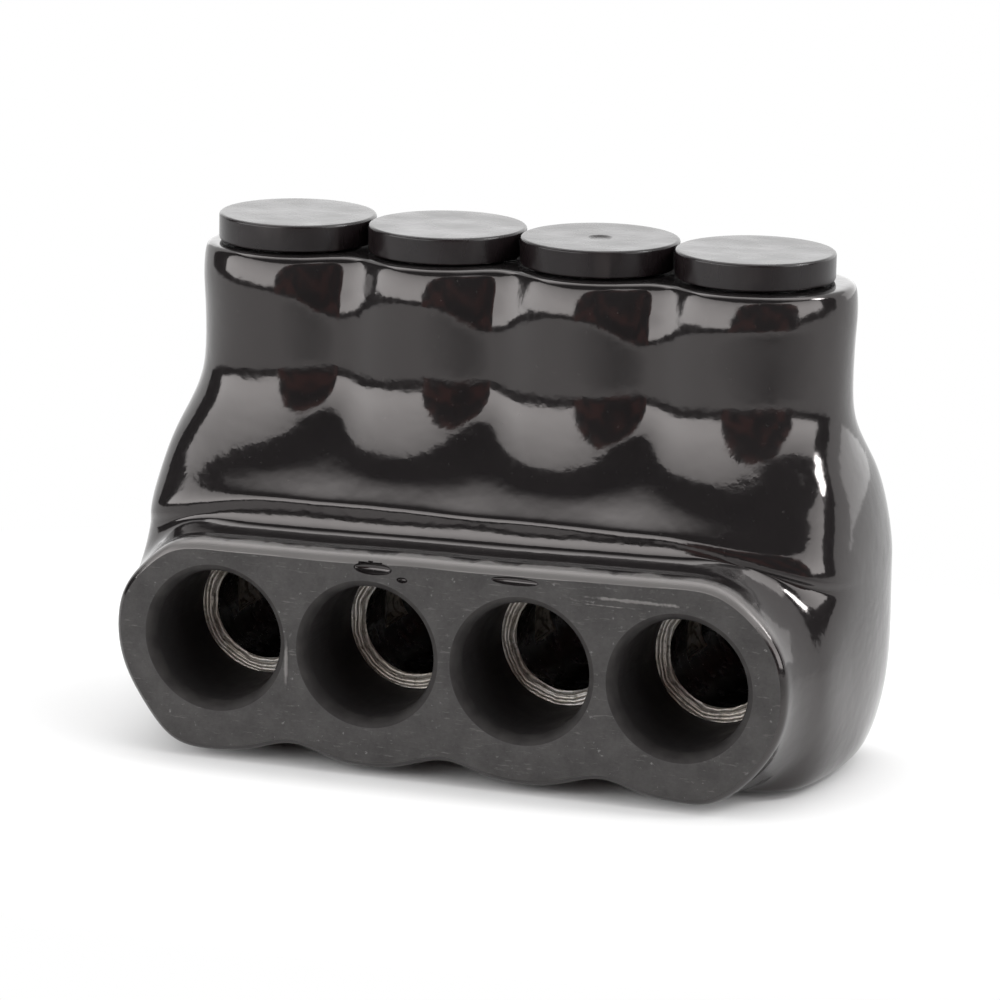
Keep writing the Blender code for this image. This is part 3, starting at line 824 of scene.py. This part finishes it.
def cut_jacket(jacket):
    far = JACKET_HIGH.x + CUT_OVERRUN
    knife_low = (-far, -COLLAR_REACH - COLLAR_LENGTH, -CUT_OVERRUN)
    cut_box(jacket, knife_low, (far, -COLLAR_REACH, NECK_HEIGHT))
    gap = Vector((SEAT_GAP, SEAT_GAP, SEAT_GAP))
    cut_box(jacket, BLOCK_LOW - gap, BLOCK_HIGH + gap)
    radius = TOWER_BORE_RADIUS
    tower = [(radius, BLOCK_HIGH.z - SEAT_GAP), (radius, RIM_HEIGHT + CUT_OVERRUN)]
    inner = BLOCK_LOW.y + SEAT_GAP
    cutters = [turned_cutter(tower, (x, 0.0, 0.0)) for x in AXES]
    cutters += [turned_cutter(port_profile(), (x, inner, PORT_AXIS_HEIGHT), True) for x in AXES]
    cutters += [bubble_cutter(*bubble) for bubble in BUBBLES]
    cut_all(jacket, cutters)


def ripple(jacket):
    """The slight unevenness of a skin that set while it hung to drip."""
    texture = bpy.data.textures.new("skin swell", "CLOUDS")
    texture.noise_scale = 0.020
    texture.noise_depth = 1
    swell = jacket.modifiers.new("skin swell", "DISPLACE")
    swell.texture = texture
    swell.texture_coords = "LOCAL"
    swell.strength = 0.00035
    swell.mid_level = 0.5


def build_jacket():
    start_piece()
    bpy.ops.mesh.primitive_circle_add(vertices=RING_COUNT, radius=ROW_HALF, fill_type="NGON")
    jacket = name_piece("jacket_skin")
    bpy.ops.object.mode_set(mode="EDIT")
    bpy.ops.mesh.select_all(action="SELECT")
    draw_up_rings(jacket)
    split_end(jacket, 0)
    split_end(jacket, len(jacket_sections()) - 1)
    draw_out_collar(jacket)
    bpy.ops.object.mode_set(mode="OBJECT")
    face_outwards(jacket)
    subdivide = jacket.modifiers.new("smooth form", "SUBSURF")
    subdivide.levels = JACKET_SMOOTHING
    subdivide.render_levels = JACKET_SMOOTHING
    ripple(jacket)
    apply_modifiers(jacket)
    cut_jacket(jacket)
    jacket.data.materials.clear()
    jacket.data.materials.append(glossy_jacket_material("glossy black vinyl", True))
    behind_cut = FACE_TOLERANCE - COLLAR_REACH

    def on_knife_cut(middle, normal):
        return middle.y < behind_cut and normal.y < -0.99

    def in_port(middle, normal):
        inside = port_offset(middle) < PORT_MOUTH_RADIUS + FACE_TOLERANCE / 2
        return inside and behind_cut < middle.y < BLOCK_LOW.y

    def in_mouth(middle, normal):
        return in_port(middle, normal) and port_offset(middle) > PORT_BORE_RADIUS + 2 * FACE_TOLERANCE

    def in_bubble(middle, normal):
        return middle.y > behind_cut and any(bubble_distance(middle, *bubble) < 1.05 for bubble in BUBBLES)

    assign_faces(jacket, cut_face_material(), on_knife_cut)
    assign_faces(jacket, glossy_jacket_material("glossy bubble wall", False), in_bubble)
    assign_faces(jacket, bore_material(), in_port)
    assign_faces(jacket, mouth_material(), in_mouth)
    smooth(jacket)
    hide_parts("insulating_jacket")
    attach(jacket, "root")


# Metal pieces

def build_block():
    start_piece()
    middle = (BLOCK_LOW + BLOCK_HIGH) / 2
    bpy.ops.mesh.primitive_cube_add(size=1.0, location=middle)
    block = name_piece("clamp_block")
    block.scale = BLOCK_HIGH - BLOCK_LOW
    apply_place(block)
    bpy.ops.object.mode_set(mode="EDIT")
    bpy.ops.mesh.select_all(action="SELECT")
    bpy.ops.mesh.bevel(offset=BLOCK_EDGE, segments=3)
    bpy.ops.object.mode_set(mode="OBJECT")
    depth = BLOCK_HIGH.y
    wide = WIRE_BORE_RADIUS + WIRE_BORE_CHAMFER
    wire = [
        (wide, -depth - CUT_OVERRUN),
        (wide, -depth),
        (WIRE_BORE_RADIUS, WIRE_BORE_CHAMFER - depth),
        (WIRE_BORE_RADIUS, depth - WIRE_BORE_CHAMFER),
        (wide, depth),
        (wide, depth + CUT_OVERRUN),
    ]
    tapped = [
        (TAPPED_HOLE_RADIUS, TAPPED_HOLE_BOTTOM),
        (TAPPED_HOLE_RADIUS, BLOCK_HIGH.z - COUNTERSINK),
        (TAPPED_HOLE_RADIUS + COUNTERSINK, BLOCK_HIGH.z),
        (TAPPED_HOLE_RADIUS + COUNTERSINK, BLOCK_HIGH.z + CUT_OVERRUN),
    ]
    cut_all(block, [turned_cutter(wire, (x, 0.0, PORT_AXIS_HEIGHT), True) for x in AXES])
    cut_all(block, [turned_cutter(tapped, (x, 0.0, 0.0)) for x in AXES])
    block.data.materials.clear()
    block.data.materials.append(block_material())

    def in_wire_bore(middle, normal):
        inside = port_offset(middle) < WIRE_BORE_RADIUS + 2.5 * FACE_TOLERANCE
        return inside and abs(middle.y) < depth - WIRE_BORE_CHAMFER and abs(normal.y) < 0.3

    assign_faces(block, dark_bore_material(), in_wire_bore)
    smooth(block)
    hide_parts("connector_block")
    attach(block, "root")


def thread_ridge(low, high):
    """One helical ridge with a V form, closed at both ends."""
    root = SCREW_RADIUS - THREAD_DEPTH
    start_piece()
    bpy.ops.mesh.primitive_circle_add(vertices=3, radius=THREAD_DEPTH, fill_type="NOTHING")
    ridge = name_piece("thread")
    bpy.ops.object.mode_set(mode="EDIT")
    mesh_data = bmesh.from_edit_mesh(ridge.data)
    mesh_data.verts.ensure_lookup_table()
    half = THREAD_HALF_WIDTH
    corners = ((root - THREAD_SINK, -half), (root - THREAD_SINK, half), (SCREW_RADIUS, 0.0))
    for vert, (radius, height) in zip(mesh_data.verts, corners):
        vert.co = (radius, 0.0, low + half + height)
    bmesh.update_edit_mesh(ridge.data)
    bpy.ops.object.mode_set(mode="OBJECT")
    screw = ridge.modifiers.new("turn", "SCREW")
    screw.steps = THREAD_STEPS
    screw.render_steps = THREAD_STEPS
    screw.screw_offset = THREAD_PITCH
    screw.iterations = int((high - low - 2 * half) / THREAD_PITCH)
    apply_modifiers(ridge)
    bpy.ops.object.mode_set(mode="EDIT")
    bpy.ops.mesh.select_all(action="SELECT")
    bpy.ops.mesh.fill_holes(sides=0)
    bpy.ops.object.mode_set(mode="OBJECT")
    face_outwards(ridge)
    return ridge


def build_screw():
    """A headless set screw at the first port: threaded body, chamfered ends, hexagon socket."""
    low, high = SCREW_LOW.z, SCREW_HIGH.z
    root = SCREW_RADIUS - THREAD_DEPTH
    edge = SCREW_EDGE
    body = [(root - edge, low), (root, low + edge), (root, high - edge), (root - edge, high)]
    screw = turned("set_screw_body", body, SCREW_STEPS)
    wide = SOCKET_CORNER_RADIUS + SOCKET_LEAD_MARGIN
    lead = [
        (wide - SOCKET_LEAD_DEPTH, high - SOCKET_LEAD_DEPTH),
        (wide, high),
        (wide, high + CUT_OVERRUN),
    ]
    socket = [
        (SOCKET_CORNER_RADIUS, high - SOCKET_DEPTH),
        (SOCKET_CORNER_RADIUS, high + CUT_OVERRUN),
    ]
    cut_away(screw, turned("cutter", socket, 6))
    cut_away(screw, turned("cutter", lead, THREAD_STEPS))
    ridge = thread_ridge(low + 0.6 * edge, high - 0.6 * edge)
    make_active(screw)
    ridge.select_set(True)
    bpy.ops.object.join()
    screw.data.materials.clear()
    screw.data.materials.append(screw_material())
    smooth(screw)
    return screw


# Access plugs

def plug_profile(seat, top):
    """From the hollow of the skirt, round the ribs, up to the middle of the head."""
    outer = PLUG_SKIRT_RADIUS
    inner = outer - PLUG_SKIRT_WALL
    head = PLUG_HEAD_RADIUS
    bottom = seat - PLUG_SKIRT_LENGTH
    profile = [
        (0.0010, seat),
        (inner, seat),
        (inner, bottom),
        (outer - PLUG_SKIRT_EDGE, bottom),
        (outer, bottom + PLUG_SKIRT_EDGE),
    ]
    for height in (seat - 0.62 * PLUG_SKIRT_LENGTH, seat - 0.30 * PLUG_SKIRT_LENGTH):
        profile += [
            (outer, height - PLUG_RIB_LENGTH),
            (outer + PLUG_RIB_RISE, height - PLUG_RIB_LENGTH / 2),
            (outer, height),
        ]
    profile += [
        (outer, seat),
        (head - 0.00035, seat),
        (head - 0.00010, seat + 0.00010),
        (head, seat + 0.00035),
        (head, top - 0.00040),
        (head - 0.00006, top - 0.00020),
        (head - 0.00020, top - 0.00006),
        (head - 0.00045, top),
        (head * 0.80, top - 0.00003),
        (head * 0.45, top - 0.00008),
        (head * 0.16, top - 0.00008),
        (0.0006, top - 0.00008),
    ]
    return profile


def press_dimple(plug, x):
    """The small sink mark left in the middle of one plug's head."""
    def near_middle(middle, normal):
        return math.hypot(middle.x - x, middle.y) < DIMPLE_RADIUS and normal.z > 0.9

    select_faces(plug, near_middle)
    bpy.ops.mesh.inset(thickness=DIMPLE_EDGE)
    bpy.ops.transform.translate(value=(0.0, 0.0, -DIMPLE_DEPTH))
    bpy.ops.object.mode_set(mode="OBJECT")


def build_plugs():
    model = turned("plug_model", plug_profile(RIM_HEIGHT + SEAT_GAP, PLUG_BOXES[0][1].z))
    model.data.materials.clear()
    model.data.materials.append(rubber_material("bloomed black rubber", 1.44))
    for number, x in enumerate(AXES, 1):
        plug = copy_piece(model, f"plug_cap_{number}", x, PLUG_TURN * number)
        if number == DIMPLED_PLUG:
            press_dimple(plug, x)
            plug.data.materials[0] = rubber_material("duller black rubber", 1.38)
        smooth(plug)
        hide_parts(f"access_plug_{number}")
        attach(plug, f"plug_{number}")
    bpy.data.objects.remove(model, do_unlink=True)


def copy_piece(model, name, x, turn):
    """A copy with its own mesh, turned about its axis and moved to a port."""
    piece = model.copy()
    piece.data = model.data.copy()
    piece.name = name
    piece.data.name = name
    bpy.context.scene.collection.objects.link(piece)
    piece.data.transform(Matrix.Translation((x, 0.0, 0.0)) @ Matrix.Rotation(turn, 4, "Z"))
    return piece


def place_screws():
    model = build_screw()
    for number, x in enumerate(AXES, 1):
        screw = copy_piece(model, f"threaded_screw_{number}", x, SCREW_TURN * number)
        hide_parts(f"set_screw_{number}")
        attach(screw, f"screw_{number}")
    bpy.data.objects.remove(model, do_unlink=True)


# Stage

def direction(azimuth, elevation):
    """The way from the object to a place on the stage. Azimuth 0 is straight out of the ports."""
    angle, rise = math.radians(azimuth), math.radians(elevation)
    return Vector((math.sin(angle) * math.cos(rise), -math.cos(angle) * math.cos(rise), math.sin(rise)))


def seen_share(tree):
    """1 for rays that look at a thing, straight or in a reflection, and 0 for rays that light by it."""
    path = tree.nodes.new("ShaderNodeLightPath")
    seen = arithmetic(tree, "MAXIMUM", path.outputs["Is Camera Ray"], path.outputs["Is Glossy Ray"])
    return arithmetic(tree, "MAXIMUM", seen, path.outputs["Is Transmission Ray"])


def floor_material():
    """Matt white, which clears to the white of the backdrop away from the object's shadow."""
    material, tree, shader = new_material("white floor")
    shader.inputs["Base Color"].default_value = (0.86, 0.86, 0.86, 1.0)
    shader.inputs["Roughness"].default_value = 0.9
    # A painted shadow, seen only in reflections: in a patch in front and to the right, the floor's glow for
    # glossy rays is dimmed to 0.3.
    shade = near_place(tree, (0.20, -0.24, 0.0), 0.26)
    path = tree.nodes.new("ShaderNodeLightPath")
    shade = arithmetic(tree, "MULTIPLY", shade, path.outputs["Is Glossy Ray"])
    near = near_place(tree, (0.0, 0.0, 0.0), 0.108, (0.62, 1.0, 1.0))
    away = arithmetic(tree, "SUBTRACT", 1.0, spread(tree, near, 0.0, 0.75))
    glow = tree.nodes.new("ShaderNodeEmission")
    tree.links.new(spread(tree, shade, 0.0, 1.0, 1.0, 0.3), glow.inputs["Strength"])
    mix = tree.nodes.new("ShaderNodeMixShader")
    tree.links.new(arithmetic(tree, "MULTIPLY", seen_share(tree), away), mix.inputs["Fac"])
    tree.links.new(shader.outputs["BSDF"], mix.inputs[1])
    tree.links.new(glow.outputs["Emission"], mix.inputs[2])
    tree.links.new(mix.outputs["Shader"], tree.nodes["Material Output"].inputs["Surface"])
    return material


def black_card_material():
    material, _, shader = new_material("black card")
    shader.inputs["Base Color"].default_value = (0.004, 0.004, 0.004, 1.0)
    shader.inputs["Roughness"].default_value = 1.0
    return material


def build_floor():
    start_piece()
    bpy.ops.mesh.primitive_plane_add(size=8.0, location=(0.0, 0.0, -0.0001))
    floor = name_piece("floor")
    floor.data.materials.append(floor_material())


def glowing_material(name, axis, low, high, at_low, at_high):
    """White light, whose strength goes from at_low to at_high between two places on an axis."""
    material, tree, shader = new_material(name)
    tree.nodes.remove(shader)
    parts = tree.nodes.new("ShaderNodeSeparateXYZ")
    tree.links.new(object_places(tree), parts.inputs["Vector"])
    glow = tree.nodes.new("ShaderNodeEmission")
    strength = spread(tree, parts.outputs[axis], low, high, at_low, at_high)
    tree.links.new(strength, glow.inputs["Strength"])
    tree.links.new(glow.outputs["Emission"], tree.nodes["Material Output"].inputs["Surface"])
    return material


def build_curved_card(name, azimuth_low, azimuth_high, radius, low, high, material):
    """A curved card that stands round the front, seen only in reflections."""
    start_piece()
    bpy.ops.mesh.primitive_grid_add(x_subdivisions=24, y_subdivisions=1, size=1.0)
    card = name_piece(name)
    for vert in card.data.vertices:
        share = vert.co.x + 0.5
        angle = math.radians(azimuth_low + (azimuth_high - azimuth_low) * share)
        height = low if vert.co.y < 0 else high
        vert.co = (radius * math.sin(angle), -radius * math.cos(angle), height)
    card.data.materials.append(material)
    card.visible_camera = False
    card.visible_transmission = False
    return card


def build_overhead_card():
    """A lit sheet overhead that grows brighter from its front edge backwards."""
    start_piece()
    bpy.ops.mesh.primitive_plane_add(size=1.0, location=(0.0, 0.0, 0.95))
    sheet = name_piece("overhead sheet")
    sheet.scale = (1.6, 0.90, 1.0)
    apply_place(sheet)
    sheet.data.materials.append(glowing_material("lit sheet", "Y", -0.40, 0.05, 0.10, 3.2))
    sheet.visible_camera = False
    sheet.visible_transmission = False


def flag_material():
    """Black with faint warm red patches that glow, a painted reflection which tints what the towers mirror.
    """
    material, tree, shader = new_material("round flag")
    shader.inputs["Base Color"].default_value = (0.004, 0.004, 0.004, 1.0)
    shader.inputs["Roughness"].default_value = 1.0
    patches = spread(tree, noise(tree, object_places(tree), 5.0, 1.0), 0.48, 0.60, 0.0, 0.6)
    shader.inputs["Emission Color"].default_value = (0.40, 0.13, 0.10, 1.0)
    tree.links.new(patches, shader.inputs["Emission Strength"])
    return material


def build_round_flag(azimuth, elevation, distance, radius):
    """A dark round flag in front of the lit wall, which the towers mirror."""
    back = direction(azimuth, elevation)
    start_piece()
    bpy.ops.mesh.primitive_circle_add(
        vertices=48,
        radius=radius,
        fill_type="NGON",
        location=back * distance + LAMP_AIM,
        rotation=back.to_track_quat("Z", "Y").to_euler(),
    )
    flag = name_piece("round flag")
    flag.data.materials.append(flag_material())
    flag.visible_camera = False
    flag.visible_transmission = False


def add_softbox(name, azimuth, elevation, distance, width, height, brightness):
    """A soft rectangular lamp that faces the object. Brightness 1 looks white in a mirror."""
    back = direction(azimuth, elevation)
    data = bpy.data.lights.new(name, "AREA")
    data.shape = "RECTANGLE"
    data.size = width
    data.size_y = height
    data.energy = brightness * math.pi * width * height
    lamp = bpy.data.objects.new(name, data)
    bpy.context.scene.collection.objects.link(lamp)
    lamp.location = back * distance + LAMP_AIM
    lamp.rotation_euler = back.to_track_quat("Z", "Y").to_euler()
    lamp.visible_camera = False


def build_reflections():
    """What the glossy skin mirrors: black card, the lit wall in front of it, and the round flag."""
    card = build_curved_card("front card", -105.0, 112.0, 1.15, 0.0, 2.4, black_card_material())
    card.visible_diffuse = False
    card.visible_shadow = False
    wall_light = glowing_material("lit wall", "Z", 0.25, 0.72, 4.2, 2.1)
    build_curved_card("lit wall", -78.0, 92.0, 0.95, 0.11, 0.76, wall_light)
    build_round_flag(27.0, 1.0, 0.78, 0.57)


def build_lights():
    build_overhead_card()
    add_softbox("back softbox", 178.0, 16.0, 1.00, 2.00, 0.60, 0.96)
    add_softbox("right spot", 98.0, 40.0, 0.90, 0.11, 0.24, 34.0)


def build_world():
    world = bpy.data.worlds.new("white studio")
    bpy.context.scene.world = world
    world.use_nodes = True
    tree = world.node_tree
    background = tree.nodes["Background"]
    background.inputs["Color"].default_value = (1.0, 1.0, 1.0, 1.0)
    tree.links.new(spread(tree, seen_share(tree), 0.0, 1.0, 0.45, 1.0), background.inputs["Strength"])


def build_camera():
    data = bpy.data.cameras.new("camera")
    data.sensor_width = SENSOR_WIDTH
    data.lens = LENS
    data.clip_start = 0.01
    camera = bpy.data.objects.new("camera", data)
    bpy.context.scene.collection.objects.link(camera)
    azimuth = math.radians(VIEW_AZIMUTH)
    back = direction(VIEW_AZIMUTH, VIEW_ELEVATION)
    right = Vector((math.cos(azimuth), math.sin(azimuth), 0.0))
    up = back.cross(right)
    rolled_right = right * math.cos(VIEW_ROLL) + up * math.sin(VIEW_ROLL)
    rolled_up = up * math.cos(VIEW_ROLL) - right * math.sin(VIEW_ROLL)
    place = Vector((0.0, 0.0, PORT_AXIS_HEIGHT))
    place += back * VIEW_DISTANCE + rolled_right * VIEW_RIGHT + rolled_up * VIEW_UP
    turn = Matrix((rolled_right, rolled_up, back)).transposed()
    camera.matrix_world = Matrix.Translation(place) @ turn.to_4x4()
    bpy.context.scene.camera = camera


def main():
    build_camera()
    build_jacket()
    build_block()
    place_screws()
    build_plugs()
    build_floor()
    build_reflections()
    build_lights()
    build_world()
    bpy.context.scene.view_settings.view_transform = "Standard"


main()
